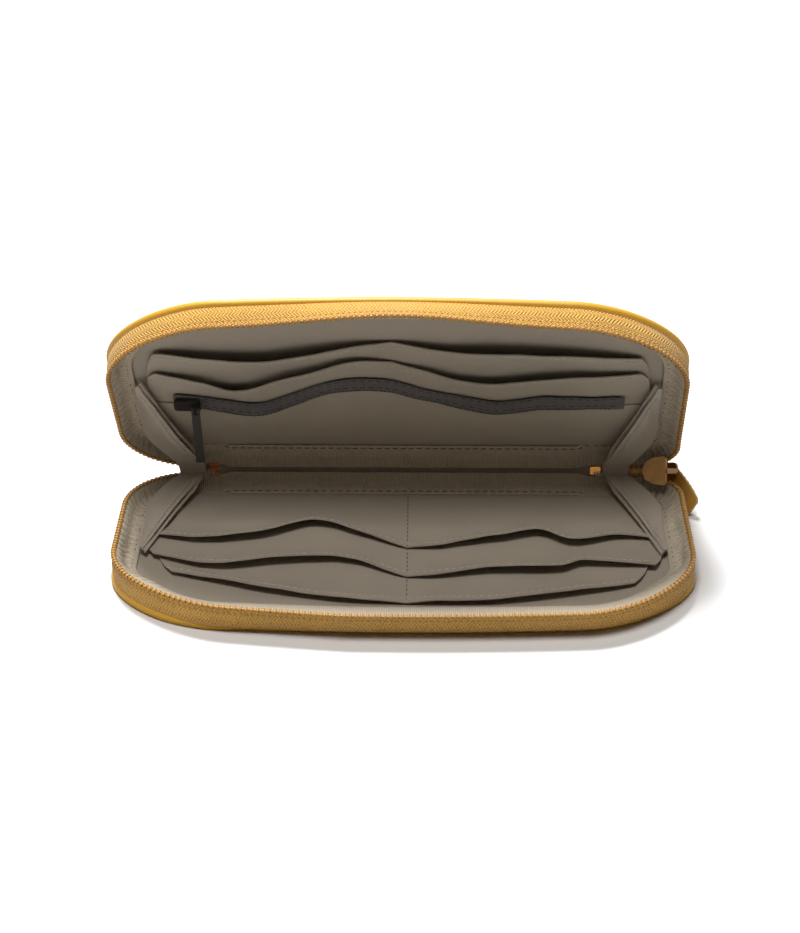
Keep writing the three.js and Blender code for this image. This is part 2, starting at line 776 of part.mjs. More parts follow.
// The origin is the centre of the lower cover's underside
wallet.position.y = depth / 2;

export default wallet;
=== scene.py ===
# A zip-around travel wallet that lies open on a pale table, dressed piece by piece.
import math
import bmesh
import bpy
from mathutils import Matrix, Vector, noise


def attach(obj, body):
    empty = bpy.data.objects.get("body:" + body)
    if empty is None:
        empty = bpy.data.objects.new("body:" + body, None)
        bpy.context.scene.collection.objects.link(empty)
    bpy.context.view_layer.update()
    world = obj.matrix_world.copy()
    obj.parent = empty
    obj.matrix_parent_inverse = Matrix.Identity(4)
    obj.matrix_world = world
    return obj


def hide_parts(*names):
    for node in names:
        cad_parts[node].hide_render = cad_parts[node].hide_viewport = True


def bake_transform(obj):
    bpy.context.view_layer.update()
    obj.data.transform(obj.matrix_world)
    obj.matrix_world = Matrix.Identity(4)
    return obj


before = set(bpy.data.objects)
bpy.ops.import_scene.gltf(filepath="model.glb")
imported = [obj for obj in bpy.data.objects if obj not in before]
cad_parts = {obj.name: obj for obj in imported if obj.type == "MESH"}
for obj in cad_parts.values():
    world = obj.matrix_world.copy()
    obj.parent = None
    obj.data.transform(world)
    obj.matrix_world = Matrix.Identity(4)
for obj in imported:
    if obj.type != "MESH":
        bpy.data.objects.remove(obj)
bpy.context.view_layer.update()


# Covers
# Each half's outside is a padded panel of yellow coated cloth over foam. Its edge is rolled
# round a cord into a smooth rim, and one row of stitches holds the roll.
HALVES = (("lower", False), ("upper", True))
HALF_LENGTH = 107
HALF_DEPTH = 53
HALF_THICKNESS = 12.5
OPEN_ANGLE = 55.2
FRONT_BOW = 6
WALL_LEAN = 7
FRONT_DRAW_IN = 4
UPPER_SKEW = 0.02


def clamped(share):
    """The share, kept between 0 and 1."""
    return min(max(share, 0), 1)


def on_half(u, v, w, upper):
    """A point of the open wallet, in metres, from a half's own plan in millimetres: u runs along
    the wallet, v from the fold to the front and w in from the cover's outer face."""
    ahead = (v - HALF_DEPTH) / HALF_DEPTH
    forward = clamped(ahead)
    lean = WALL_LEAN * (math.exp(-((u / 38) ** 2)) if upper else clamped((u + 96) / 75))
    across = u - FRONT_DRAW_IN * ahead ** 2 * (u / HALF_LENGTH) * max(ahead, 0)
    bow = FRONT_BOW * (u / HALF_LENGTH) ** 2 * forward
    deep = v - bow + lean * forward ** 2 * (w / HALF_THICKNESS)
    if not upper:
        return Vector((across, HALF_DEPTH - deep, w)) / 1000
    turn = math.radians(OPEN_ANGLE)
    across -= UPPER_SKEW * deep + clamped(v / 20)
    rise = HALF_THICKNESS - w
    back = HALF_DEPTH - deep * math.cos(turn) + rise * math.sin(turn)
    height = HALF_THICKNESS + deep * math.sin(turn) + rise * math.cos(turn)
    return Vector((across, back, height)) / 1000


ZIP_RUN = 441.6
RING_RUN = 584.6


def on_edge(t, inset, w, upper):
    """A point beside the plan's edge: t runs from the zip's open end round the left, the front
    and the right to its closed end, and on along the spine. Each run has the u and v of its
    centre at its start and its end, the directions it faces there, and its radius."""
    runs = (
        (-71.5, 27, -80, 27, 270, 270, 27),
        (-80, 27, -80, 27, 270, 180, 27),
        (-80, 27, -80, 64, 180, 180, 27),
        (-65, 64, -65, 64, 180, 90, 42),
        (-65, 64, 65, 64, 90, 90, 42),
        (65, 64, 65, 64, 90, 0, 42),
        (89, 64, 89, 18, 0, 0, 18),
        (89, 18, 89, 18, 0, -90, 18),
        (89, 18, 71.5, 18, -90, -90, 18),
        (71.5, 18, -71.5, 18, -90, -90, 18),
    )
    left = t
    for run in runs:
        u0, v0, u1, v1, from_turn, to_turn, radius = run
        length = math.hypot(u1 - u0, v1 - v0) + math.radians(abs(to_turn - from_turn)) * radius
        if left <= length or run is runs[-1]:
            break
        left -= length
    share = min(left / length, 1)
    turn = math.radians(from_turn + (to_turn - from_turn) * share)
    reach = radius - inset
    u = u0 + (u1 - u0) * share + math.cos(turn) * reach
    v = v0 + (v1 - v0) * share + math.sin(turn) * reach
    return u, v, w


def edge_point(t, inset, w, upper):
    """The same point beside the plan's edge, on the open wallet."""
    return on_half(*on_edge(t, inset, w, upper), upper)


def bent_grid(name, columns, rows, place, width, height):
    """A grid that is added flat and bent to shape: place(a, b) gives the point for the shares a
    and b of its two sides. Its UV map is in centimetres of cloth."""
    bpy.ops.object.select_all(action="DESELECT")
    bpy.ops.mesh.primitive_grid_add(x_subdivisions=columns, y_subdivisions=rows, size=1, calc_uvs=True)
    piece = bpy.context.object
    piece.name = name
    for corner in piece.data.uv_layers.active.data:
        corner.uv = (corner.uv.x * width / 10, corner.uv.y * height / 10)
    for vertex in piece.data.vertices:
        vertex.co = place(vertex.co.x + 0.5, vertex.co.y + 0.5)
    return piece


def close_seams(piece, fill=False):
    """Joins the grid's meeting edges, closes its open ends and turns all faces outwards."""
    bpy.ops.object.select_all(action="DESELECT")
    bpy.context.view_layer.objects.active = piece
    piece.select_set(True)
    bpy.ops.object.mode_set(mode="EDIT")
    bpy.ops.mesh.select_all(action="SELECT")
    bpy.ops.mesh.remove_doubles(threshold=0.00001)
    if fill:
        bpy.ops.mesh.fill_holes(sides=0)
        bpy.ops.mesh.select_all(action="SELECT")
    bpy.ops.mesh.normals_make_consistent(inside=False)
    bpy.ops.object.mode_set(mode="OBJECT")


def give_thickness(piece, thickness):
    """Gives a sheet its cloth's thickness, half of it on each side."""
    bpy.ops.object.select_all(action="DESELECT")
    bpy.context.view_layer.objects.active = piece
    piece.select_set(True)
    wall = piece.modifiers.new("cloth thickness", "SOLIDIFY")
    wall.thickness = thickness / 1000
    wall.offset = 0
    bpy.ops.object.modifier_apply(modifier=wall.name)
    bpy.ops.object.mode_set(mode="EDIT")
    bpy.ops.mesh.select_all(action="SELECT")
    bpy.ops.mesh.normals_make_consistent(inside=False)
    bpy.ops.object.mode_set(mode="OBJECT")


def finish_piece(piece, material, body, angle=40):
    """Smooths a piece, gives it its material and hangs it on its body, where it has one."""
    bpy.ops.object.select_all(action="DESELECT")
    bpy.context.view_layer.objects.active = piece
    piece.select_set(True)
    bpy.ops.object.shade_smooth_by_angle(angle=math.radians(angle))
    piece.data.materials.clear()
    piece.data.materials.append(material)
    if body:
        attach(piece, body)
    return piece


def add_node(tree, kind, sockets=(), **settings):
    """Adds one shader node; sockets pairs each input with a value or with another node's output."""
    made = tree.nodes.new("ShaderNode" + kind)
    for name, value in settings.items():
        setattr(made, name, value)
    for place, value in sockets:
        if isinstance(value, bpy.types.NodeSocket):
            tree.links.new(value, made.inputs[place])
        else:
            made.inputs[place].default_value = value
    return made


def reckon(tree, operation, first, second=0.0):
    """One sum on two values or outputs."""
    return add_node(tree, "Math", [(0, first), (1, second)], operation=operation).outputs[0]


def start_material(name, colour, roughness, metallic=0.0):
    """A new material with its shader's plain values."""
    material = bpy.data.materials.new(name)
    material.use_nodes = True
    shader = material.node_tree.nodes["Principled BSDF"]
    shader.inputs["Base Color"].default_value = (*colour, 1)
    shader.inputs["Roughness"].default_value = roughness
    shader.inputs["Metallic"].default_value = metallic
    return material, material.node_tree, shader


def tinted(tree, shader, colour, amount, dark, light):
    """Runs the base colour between a darker and a lighter tone as amount goes from 0 to 1."""
    low = (*[c * dark for c in colour], 1)
    high = (*[min(c * light, 1) for c in colour], 1)
    blend = add_node(
        tree, "MixRGB", [("Fac", amount), ("Color1", low), ("Color2", high)], use_clamp=True,
    )
    tree.links.new(blend.outputs[0], shader.inputs["Base Color"])
    return blend


def raised(tree, shader, height, strength, distance):
    """Raises the surface's grain by a height from 0 to 1."""
    bump = add_node(tree, "Bump", [("Height", height), ("Strength", strength), ("Distance", distance)])
    tree.links.new(bump.outputs[0], shader.inputs["Normal"])


def coated_cloth(name, colour):
    """Coated cloth: a fine leather-like grain, a soft sheen and slightly uneven colour."""
    material, tree, shader = start_material(name, colour, 0.46)
    place = add_node(tree, "TexCoord").outputs["Object"]
    grain = add_node(tree, "TexVoronoi", [("Vector", place), ("Scale", 1100.0)], feature="F1")
    broad = add_node(tree, "TexNoise", [("Vector", place), ("Scale", 34.0), ("Detail", 3.0)])
    rough = add_node(tree, "MapRange", [(0, broad.outputs["Fac"]), (3, 0.4), (4, 0.55)])
    tree.links.new(rough.outputs[0], shader.inputs["Roughness"])
    tinted(tree, shader, colour, broad.outputs["Fac"], 0.9, 1.08)
    raised(tree, shader, grain.outputs["Distance"], 0.22, 0.00025)
    shader.inputs["Coat Weight"].default_value = 0.12
    shader.inputs["Coat Roughness"].default_value = 0.35
    return material


def speckled(name, colour, roughness, metallic, spots, tones, grain):
    """A material with small uneven spots. spots is their scale and detail, tones their darkest
    and lightest shares of the colour, and grain the strength and depth of the surface's grain."""
    material, tree, shader = start_material(name, colour, roughness, metallic)
    place = add_node(tree, "TexCoord").outputs["Object"]
    pattern = add_node(tree, "TexNoise", [("Vector", place), ("Scale", spots[0]), ("Detail", spots[1])])
    tinted(tree, shader, colour, pattern.outputs["Fac"], *tones)
    raised(tree, shader, pattern.outputs["Fac"], *grain)
    return material, shader


def thread_material(name, colour):
    """Twisted sewing thread."""
    material, shader = speckled(name, colour, 0.7, 0.0, (2400.0, 1.0), (0.75, 1.2), (0.3, 0.0001))
    shader.inputs["Sheen Weight"].default_value = 0.25
    return material


def repeated(name, master, places):
    """One mesh that holds a copy of the master at each of the places."""
    gathered = bmesh.new()
    for place in places:
        copy = master.data.copy()
        copy.transform(place)
        gathered.from_mesh(copy)
        bpy.data.meshes.remove(copy)
    row = bpy.data.objects.new(name, bpy.data.meshes.new(name))
    gathered.to_mesh(row.data)
    gathered.free()
    bpy.context.collection.objects.link(row)
    bpy.data.objects.remove(master)
    return row


def stands_at(here, ahead, above, turn=0.0):
    """The place of a thing at here, with its x towards ahead and its z towards above, turned
    about its z by so many degrees."""
    x = (ahead - here).normalized()
    y = (above - here).cross(x).normalized()
    z = x.cross(y)
    basis = Matrix((x, y, z)).transposed().to_4x4()
    return Matrix.Translation(here) @ basis @ Matrix.Rotation(math.radians(turn), 4, "Z")


def sewn_row(name, seam, length, material, body, pitch=3.1, size=(2.3, 0.42, 0.34), start=0.0):
    """A row of stitches. seam(t, rise) is the point t millimetres along it, lifted by rise."""
    bpy.ops.object.select_all(action="DESELECT")
    bpy.ops.mesh.primitive_uv_sphere_add(segments=6, ring_count=5, radius=0.0005)
    stitch = bpy.context.object
    for vertex in stitch.data.vertices:
        x, y, z = vertex.co
        vertex.co = (z * size[0], y * size[1], x * size[2])
    places = []
    for i in range(int(length / pitch)):
        t = start + (i + 0.5) * pitch
        places.append(stands_at(seam(t, 0.0), seam(t + 0.4, 0.0), seam(t, 1.0)))
    row = repeated(name, stitch, places)
    close_seams(row)
    return finish_piece(row, material, body, 80)


yellow = (0.72, 0.37, 0.018)
yellow_cloth = coated_cloth("yellow coated cloth", yellow)
yellow_thread = thread_material("golden thread", (0.6, 0.33, 0.05))
RIM_TUCK = 2.3
RIM_ROLL = 1.6


def cover_section(upper):
    """The cover's outline from the middle of its outer face to the middle of its inner face, as
    shares of the plan, insets from the edge and heights."""
    crown = -2.4 if upper else 0.0
    section = []
    for share in (0.0, 0.12, 0.25, 0.38, 0.5, 0.62, 0.72, 0.81, 0.88, 0.94, 0.98):
        section.append((share, 7.0, 0.55 + (crown - 0.4) * (1 - share ** 2.6)))
    section += [(1.0, 7.0, 0.55), (1.0, 5.6, 0.75), (1.0, 4.4, 0.55), (1.0, 3.5, 0.95)]
    for turn in range(-120, 100, 20):
        angle = math.radians(turn)
        section.append((1.0, RIM_ROLL - RIM_ROLL * math.cos(angle), RIM_ROLL + RIM_ROLL * math.sin(angle)))
    section += [(1.0, 2.9, 2.7), (1.0, 3.4, 2.1), (0.9, 4.5, 2.0), (0.5, 4.5, 2.0), (0.0, 4.5, 2.0)]
    return section


for half, upper in HALVES:
    section = cover_section(upper)

    def cover_point(a, b):
        share, inset, w = section[round(b * (len(section) - 1))]
        u, v, w = on_edge(a * RING_RUN, inset, w, upper)
        tuck = 0 if upper else clamped((u + 88) / 30) * clamped((v - 70) / 22)
        u = u * share
        v = HALF_DEPTH + (v - HALF_DEPTH) * share - RIM_TUCK * tuck
        if upper and share < 1:
            w += 0.5 * noise.noise(Vector((u / 28, v / 28, 3))) * (1 - share ** 6)
        return on_half(u, v, w, upper)

    cover = bent_grid(half + "_padded_cover", 292, len(section) - 1, cover_point, RING_RUN, 110)
    close_seams(cover)
    finish_piece(cover, yellow_cloth, half + "_half", 60)
    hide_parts(half + "_cover")

    def rim_seam(t, rise):
        return edge_point(t % RING_RUN, 6.4 if upper else 8.6, 0.62 - rise, upper)

    sewn_row(half + "_rim_stitches", rim_seam, RING_RUN, yellow_thread, half + "_half")


# Boards
# A stiffening board of grey card lies between each cover and its lining, out of sight.
def paint(node, material):
    """Gives a CAD piece its finish."""
    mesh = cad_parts[node].data
    mesh.materials.clear()
    mesh.materials.append(material)


card, shader = speckled(
    "grey card", (0.45, 0.42, 0.36), 0.9, 0.0, (300.0, 6.0), (0.85, 1.1), (0.2, 0.0002),
)
paint("lower_board", card)
paint("upper_board", card)


# Linings
# A thin taupe cloth lies over each board. It shows between the ribbon and the pockets.
THREADS = 20.0


def woven_cloth(name, colour):
    """Plain-woven lining cloth: fine crossing threads, slubs and soft uneven tone."""
    material, tree, shader = start_material(name, colour, 0.85)
    cloth = add_node(tree, "TexCoord").outputs["UV"]
    parts = add_node(tree, "SeparateXYZ", [(0, cloth)])
    warp = reckon(tree, "SINE", reckon(tree, "MULTIPLY", parts.outputs[0], 2 * math.pi * THREADS))
    weft = reckon(tree, "SINE", reckon(tree, "MULTIPLY", parts.outputs[1], 2 * math.pi * THREADS))
    weave = reckon(tree, "MULTIPLY_ADD", reckon(tree, "MULTIPLY", warp, weft), 0.5)
    weave.node.inputs[2].default_value = 0.5
    long_threads = add_node(tree, "Mapping", [("Vector", cloth), ("Scale", (1.5, 30.0, 1.0))])
    slubs = add_node(
        tree, "TexNoise", [("Vector", long_threads.outputs[0]), ("Scale", 1.0), ("Detail", 3.0)],
    )
    broad = add_node(tree, "TexNoise", [("Vector", cloth), ("Scale", 0.5), ("Detail", 4.0)])
    tone = reckon(tree, "ADD", reckon(tree, "MULTIPLY", slubs.outputs["Fac"], 0.4),
                  reckon(tree, "MULTIPLY", broad.outputs["Fac"], 0.6))
    tone = reckon(tree, "ADD", tone, reckon(tree, "MULTIPLY", reckon(tree, "SUBTRACT", weave, 0.5), 0.3))
    tinted(tree, shader, colour, tone, 0.84, 1.16)
    raised(tree, shader, reckon(tree, "ADD", weave, slubs.outputs["Fac"]), 0.25, 0.00012)
    shader.inputs["Sheen Weight"].default_value = 0.15
    shader.inputs["Sheen Roughness"].default_value = 0.5
    return material


taupe = (0.36, 0.305, 0.235)
taupe_cloth = woven_cloth("taupe lining cloth", taupe)

for half, upper in HALVES:

    def lining_point(a, b):
        u, v, w = on_edge(a * RING_RUN, 4.0, 3.85, upper)
        u = u * b
        v = HALF_DEPTH + (v - HALF_DEPTH) * b
        return on_half(u, v, w + 0.15 * noise.noise(Vector((u / 15, v / 15, 8))), upper)

    lining = bent_grid(half + "_lining_cloth", 146, 24, lining_point, RING_RUN, 50)
    close_seams(lining)
    give_thickness(lining, 0.4)
    finish_piece(lining, taupe_cloth, half + "_half")
    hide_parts(half + "_lining")


# Outer spine
# One strip of the same coated cloth closes the gap between the two ends of the zip. It runs
# from the lower rim round the fold to the upper rim, shaped as the wallet lies open.
FOLD = Vector((0.0, HALF_DEPTH, HALF_THICKNESS)) / 1000
HALF_ANGLE = math.radians(OPEN_ANGLE / 2)
ACROSS_FOLD = Vector((0.0, math.sin(HALF_ANGLE), math.cos(HALF_ANGLE)))
INTO_FOLD = Vector((0.0, -math.cos(HALF_ANGLE), math.sin(HALF_ANGLE)))
SPINE_LENGTH = 160


def spine_point(a, b):
    """A point of the spine: a runs along it and b from the lower rim to the upper rim."""
    u = (a - 0.5) * SPINE_LENGTH
    low = on_half(u, 0.9, 2.9, False)
    high = on_half(u, 0.9, 2.9, True)
    corner_low = on_half(u, 0.9, 11.0, False)
    corner_high = on_half(u, 0.9, 11.0, True)
    near_low = low * (1 - b) ** 3 + corner_low * (3 * b * (1 - b) ** 2)
    near_high = corner_high * (3 * b * b * (1 - b)) + high * b ** 3
    return near_low + near_high


def bend_at_fold(piece):
    """Bakes a piece's placement into its mesh, as shaped for the open wallet."""
    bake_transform(piece)


spine = bent_grid("outer_spine", 76, 24, spine_point, SPINE_LENGTH, 21)
give_thickness(spine, 0.8)
finish_piece(spine, yellow_cloth, None, 50)
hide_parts("lower_spine_strip", "upper_spine_strip")
bend_at_fold(spine)


# Zip tapes
# A golden herringbone tape stands round each half as its wall. It is sewn to the rim at its
# foot, and its upper edge carries the coil, with a row of dimpled stitches below it.
def herringbone(name, colour, pitch=0.13, rows=0.13, contrast=0.42):
    """Herringbone tape: slanted ribs that change direction from one row to the next."""
    material, tree, shader = start_material(name, colour, 0.8)
    cloth = add_node(tree, "TexCoord").outputs["UV"]
    parts = add_node(tree, "SeparateXYZ", [(0, cloth)])
    zigzag = reckon(tree, "PINGPONG", parts.outputs[1], rows)
    slant = reckon(tree, "ADD", parts.outputs[0], zigzag)
    ribs = reckon(tree, "SINE", reckon(tree, "MULTIPLY", slant, 2 * math.pi / pitch))
    speckle = add_node(tree, "TexNoise", [("Vector", cloth), ("Scale", 13.0), ("Detail", 2.0)])
    broad = add_node(tree, "TexNoise", [("Vector", cloth), ("Scale", 0.6), ("Detail", 2.0)])
    height = reckon(tree, "ADD", reckon(tree, "MULTIPLY", ribs, 0.4), speckle.outputs["Fac"])
    tone = reckon(tree, "ADD", reckon(tree, "MULTIPLY", height, 0.75),
                  reckon(tree, "MULTIPLY", broad.outputs["Fac"], 0.3))
    tinted(tree, shader, colour, tone, 1 - contrast, 1 + contrast)
    raised(tree, shader, height, 0.8, 0.0005)
    shader.inputs["Sheen Weight"].default_value = 0.2
    shader.inputs["Sheen Roughness"].default_value = 0.4
    return material


gold = (0.68, 0.37, 0.072)
gold_tape = herringbone("golden herringbone tape", gold)
dimple_thread = thread_material("tape stitch thread", (0.46, 0.23, 0.035))
TAPE_SECTION = (
    (0.95, 2.7), (0.8, 3.8), (0.55, 5.2), (0.5, 6.8), (0.6, 8.2), (0.85, 9.2), (0.75, 9.8),
    (0.85, 10.6), (1.0, 11.2), (1.3, 11.35), (1.6, 11.2), (1.65, 9.6), (1.4, 7.4), (1.4, 5.4),
    (1.7, 3.8), (1.75, 2.7), (0.95, 2.7),
)

for half, upper in HALVES:

    def tape_point(a, b):
        inset, w = TAPE_SECTION[round(b * (len(TAPE_SECTION) - 1))]
        t = 0.3 + a * (ZIP_RUN - 0.6)
        ripple = 0.18 * noise.noise(Vector((t / 9, w / 6, 2 if upper else 5)))
        return edge_point(t, inset + ripple * math.sin(math.pi * min((w - 2.7) / 8.5, 1)), w, upper)

    tape = bent_grid(half + "_woven_tape", 260, len(TAPE_SECTION) - 1, tape_point, ZIP_RUN, 18)
    close_seams(tape, fill=True)
    finish_piece(tape, gold_tape, half + "_half", 50)
    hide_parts(half + "_zip_tape")

    def tape_seam(t, rise):
        return edge_point(t, 0.68 - rise, 9.35, upper)

    sewn_row(
        half + "_tape_stitches", tape_seam, ZIP_RUN - 4, dimple_thread, half + "_half",
        pitch=2.1, size=(0.9, 0.75, 0.26), start=2.0,
    )


# Zip coils
# Each tape's edge carries a coil of orange-gold nylon: one loop of wire for every tooth, bent
# round a cord. The upper coil's teeth stand half a pitch on, so that they mesh when it closes.
def coil_nylon(name, colour):
    """Moulded nylon wire under a light clear coat."""
    material, shader = speckled(
        name, colour, 0.38, 0.0, (420.0, 2.0), (0.72, 1.25), (0.15, 0.0001),
    )
    shader.inputs["Coat Weight"].default_value = 0.2
    shader.inputs["Coat Roughness"].default_value = 0.3
    return material


orange_nylon = coil_nylon("orange nylon coil", (0.5, 0.25, 0.04))
TOOTH_PITCH = 2.1
COIL_START = 5.0
COIL_END = ZIP_RUN - 5.0
COIL_INSET = 1.3
COIL_HEIGHT = 11.45
TOOTH_SLANT = 10


def tooth_loop(long_side, short_side, wire):
    """One loop of the coil, an oval ring of wire that stands across the zip's edge."""
    bpy.ops.object.select_all(action="DESELECT")
    bpy.ops.mesh.primitive_torus_add(
        major_segments=10, minor_segments=6, major_radius=1.0, minor_radius=wire, generate_uvs=False,
    )
    loop = bpy.context.object
    for vertex in loop.data.vertices:
        x, y, z = vertex.co
        vertex.co = (z * 1.7 / 1000, x * long_side / 1000, y * short_side / 1000)
    return loop


for half, upper in HALVES:
    loop = tooth_loop(0.75, 0.52, 0.42)
    places = []
    for i in range(int((COIL_END - COIL_START) / TOOTH_PITCH)):
        t = COIL_START + (i + (0.5 if upper else 0.0)) * TOOTH_PITCH
        here = edge_point(t, COIL_INSET, COIL_HEIGHT, upper)
        ahead = edge_point(t + 0.5, COIL_INSET, COIL_HEIGHT, upper)
        above = edge_point(t, COIL_INSET, COIL_HEIGHT + 1, upper)
        places.append(stands_at(here, ahead, above, TOOTH_SLANT if upper else -TOOTH_SLANT))
    coil = repeated(half + "_coil_teeth", loop, places)
    close_seams(coil)
    finish_piece(coil, orange_nylon, half + "_half", 80)
    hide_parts(half + "_zip_coil")

    def cord_point(a, b):
        angle = 2 * math.pi * b
        t = COIL_START + a * (COIL_END - COIL_START)
        return edge_point(t, COIL_INSET - 0.5 * math.cos(angle), 11.5 + 0.4 * math.sin(angle), upper)

    core = bent_grid(half + "_coil_cord", 260, 8, cord_point, ZIP_RUN, 3)
    close_seams(core, fill=True)
    finish_piece(core, orange_nylon, half + "_half", 80)


# Closed end of the zip
# Behind the slider the two coils mesh into one chain, which runs on the line of the fold from
# the slider round the corner to the clip.
CHAIN_START = 411
CHAIN_PITCH = TOOTH_PITCH / 2


def chain_point(t, rise):
    """A point of the chain, lifted across the fold by so many millimetres."""
    low = edge_point(t, COIL_INSET, HALF_THICKNESS, False)
    high = edge_point(t, COIL_INSET, HALF_THICKNESS, True)
    return low.lerp(high, 0.5) + ACROSS_FOLD * rise * 0.001


loop = tooth_loop(0.7, 1.5, 0.4)
places = []
for i in range(26):
    t = CHAIN_START + i * CHAIN_PITCH
    places.append(stands_at(chain_point(t, 0), chain_point(t + 0.5, 0), chain_point(t, 1), 12))
chain = repeated("closed_zip_chain", loop, places)
close_seams(chain)
finish_piece(chain, orange_nylon, "zip_end", 80)


# Zip ends
# A folded brass clip holds the closed end of the two coils at the fold, and a small brass
# clamp ends each coil at the other end of the spine.
brass, shader = speckled(
    "worn brass", (0.5, 0.22, 0.05), 0.42, 0.85, (600.0, 5.0), (0.6, 1.25), (0.15, 0.0001),
)
paint("zip_end_clip", brass)
paint("lower_end_stop", brass)
paint("upper_end_stop", brass)


# Facing ribbons
# A beige ribbed ribbon faces the inside of each wall. Its upper edge is sewn below the coil,
# its foot turns in over the pockets' seams, and it is gathered where it rounds the ends.
RIB_PITCH = 0.078


def ribbed_ribbon(name, colour):
    """Grosgrain ribbon: close ribs that run across its length."""
    material, tree, shader = start_material(name, colour, 0.78)
    cloth = add_node(tree, "TexCoord").outputs["UV"]
    parts = add_node(tree, "SeparateXYZ", [(0, cloth)])
    waver = add_node(tree, "TexNoise", [("Vector", cloth), ("Scale", 2.0), ("Detail", 2.0)])
    along = reckon(tree, "ADD", parts.outputs[0], reckon(tree, "MULTIPLY", waver.outputs["Fac"], 0.05))
    ribs = reckon(tree, "SINE", reckon(tree, "MULTIPLY", along, 2 * math.pi / RIB_PITCH))
    ribs = reckon(tree, "MULTIPLY_ADD", ribs, 0.5)
    ribs.node.inputs[2].default_value = 0.5
    uneven = add_node(tree, "TexNoise", [("Vector", cloth), ("Scale", 6.0), ("Detail", 3.0)])
    tone = reckon(tree, "ADD", reckon(tree, "MULTIPLY", ribs, 0.6),
                  reckon(tree, "MULTIPLY", uneven.outputs["Fac"], 0.4))
    tinted(tree, shader, colour, tone, 0.76, 1.2)
    raised(tree, shader, ribs, 0.6, 0.0003)
    shader.inputs["Sheen Weight"].default_value = 0.15
    return material


beige = (0.56, 0.47, 0.35)
beige_ribbon = ribbed_ribbon("beige ribbed ribbon", beige)
dark_thread = thread_material("dark taupe thread", (0.06, 0.048, 0.036))
RIBBON_SECTION = (
    (1.85, 11.1), (2.0, 10.2), (2.2, 9.0), (2.4, 7.8), (2.8, 6.7), (3.6, 5.9), (4.8, 5.45),
    (6.2, 5.3), (7.6, 5.25), (8.8, 5.2), (9.3, 4.9),
)


def soft_step(share):
    """Goes smoothly from 0 to 1."""
    share = clamped(share)
    return share * share * (3 - 2 * share)


def gather(t):
    """How strongly the ribbon is gathered: fully at the two ends, not along front and spine."""
    left = math.exp(-((t - 80) / 48) ** 4)
    right = math.exp(-((t - 372) / 48) ** 4)
    return max(left, right)


for half, upper in HALVES:

    def ribbon_point(a, b):
        t = a * RING_RUN
        place = b * (len(RIBBON_SECTION) - 1)
        low = min(int(place), len(RIBBON_SECTION) - 2)
        part = place - low
        inset = RIBBON_SECTION[low][0] * (1 - part) + RIBBON_SECTION[low + 1][0] * part
        w = RIBBON_SECTION[low][1] * (1 - part) + RIBBON_SECTION[low + 1][1] * part
        crowd = gather(t)
        if not upper:
            front = soft_step((t - 92) / 30) * soft_step((352 - t) / 30)
            inset += (1.85 + 11.2 * b - inset) * front
            w += (11.1 - 5.2 * b - w) * front
        at_spine = soft_step((t - ZIP_RUN) / 5) * soft_step((RING_RUN - t) / 5)
        w += (1.25 * (1 - b) ** 2 + 1.9 * b) * at_spine
        wander = noise.noise(Vector((t / 14, b * 3, 11 if upper else 4)))
        fold = math.sin(t * 2 * math.pi / 3.9 + 2.6 * wander + 1.2 * b)
        puff = crowd * math.sin(math.pi * min(b * 1.15, 1))
        inset += puff * (1.5 + 0.8 * fold) + 0.25 * wander * math.sin(math.pi * b)
        w += puff * (0.8 + 0.5 * fold)
        return edge_point(t, inset, w, upper)

    ribbon = bent_grid(half + "_facing_ribbon", 700, 20, ribbon_point, RING_RUN, 14)
    close_seams(ribbon)
    give_thickness(ribbon, 0.4)
    finish_piece(ribbon, beige_ribbon, half + "_half", 60)
    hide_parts(half + "_ribbon")

    def ribbon_seam(t, rise):
        t = t % RING_RUN
        at_spine = soft_step((t - ZIP_RUN) / 5) * soft_step((RING_RUN - t) / 5)
        front = 0 if upper else soft_step((t - 92) / 30) * soft_step((352 - t) / 30)
        return edge_point(t, 7.7 + 4.2 * front, 5.55 + 1.68 * at_spine + 0.75 * front + rise, upper)

    sewn_row(half + "_ribbon_stitches", ribbon_seam, RING_RUN, dark_thread, half + "_half")


# Spine lining
# The outer spine is faced with a strip of the lining cloth, which shows as a dark slit
# between the two ribbons at the fold.
def spine_lining_point(a, b):
    return spine_point(a, 0.08 + 0.84 * b) + INTO_FOLD * 0.0009


spine_lining = bent_grid("spine_lining", 76, 20, spine_lining_point, SPINE_LENGTH, 18)
give_thickness(spine_lining, 0.3)
finish_piece(spine_lining, taupe_cloth, None, 50)
bend_at_fold(spine_lining)


# Slip pockets of the lower half
# Three sheets of taupe cloth lie over each other like steps. Each is sewn down at its sides
# and in the middle, and its front edge is hemmed and stands a little open in soft waves.
def through(marks, u):
    """A smooth line through a few marked places."""
    if u <= marks[0][0]:
        return marks[0][1]
    for k in range(len(marks) - 1):
        u0, v0 = marks[k]
        u1, v1 = marks[k + 1]
        if u <= u1:
            before = marks[max(k - 1, 0)]
            after = marks[min(k + 2, len(marks) - 1)]
            slope0 = (v1 - before[1]) / (u1 - before[0])
            slope1 = (after[1] - v0) / (after[0] - u0)
            x = (u - u0) / (u1 - u0)
            span = u1 - u0
            return (
                v0 * (1 + 2 * x) * (1 - x) ** 2 + slope0 * span * x * (1 - x) ** 2
                + v1 * x * x * (3 - 2 * x) - slope1 * span * x * x * (1 - x)
            )
    return marks[-1][1]


def column_swell(u, middle, half_width):
    """0 at a pocket's side seams and at its middle seam, 1 halfway between them."""
    share = (u - middle) / (half_width - middle) if u > middle else (middle - u) / (half_width + middle)
    return math.sin(math.pi * clamped(share))


LOWER_SEAM = 1.5
UPPER_SEAM = -2
POCKET_BACK = 9.2
SHEET_BASE = 4.65
SHEET_STEP = 0.8
HEM_DEPTH = 4.2
HEM_STEP = 0.35


